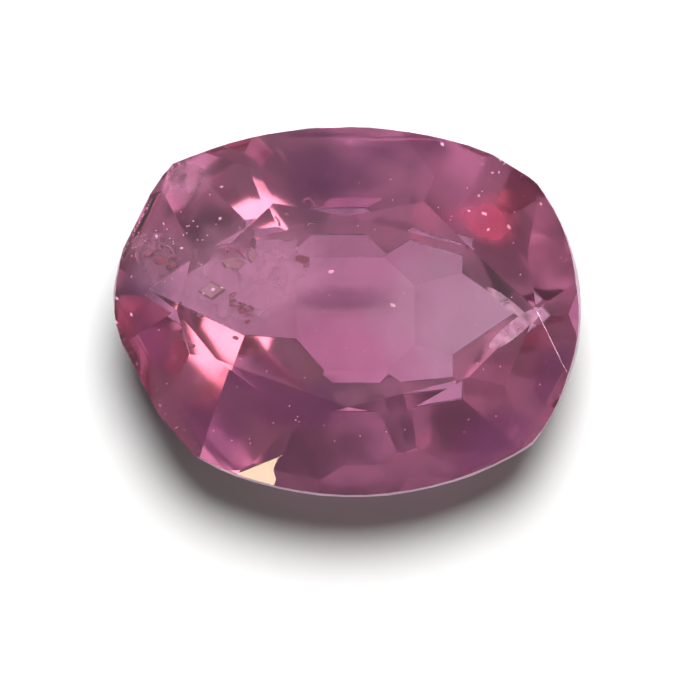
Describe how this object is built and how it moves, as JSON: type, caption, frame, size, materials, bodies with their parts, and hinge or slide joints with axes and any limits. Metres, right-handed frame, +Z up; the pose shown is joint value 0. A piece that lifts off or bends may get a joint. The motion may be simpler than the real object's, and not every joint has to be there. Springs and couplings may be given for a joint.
{
  "type": "cut pink sapphire",
  "caption": "Transparent pink sapphire cut as a soft-cornered cushion, standing on the flat culet of its pavilion with its table facing up.",
  "frame": {"origin": "on the surface the stone stands on, under the middle of its bounding box", "axes": "+Z up, square to the table; +X along the stone's length"},
  "size_m": [0.007, 0.0056, 0.0023],
  "materials": {
    "sapphire": "polished"
  },
  "bodies": {
    "root": {"sapphire": "sapphire"}
  },
  "joints": []
}
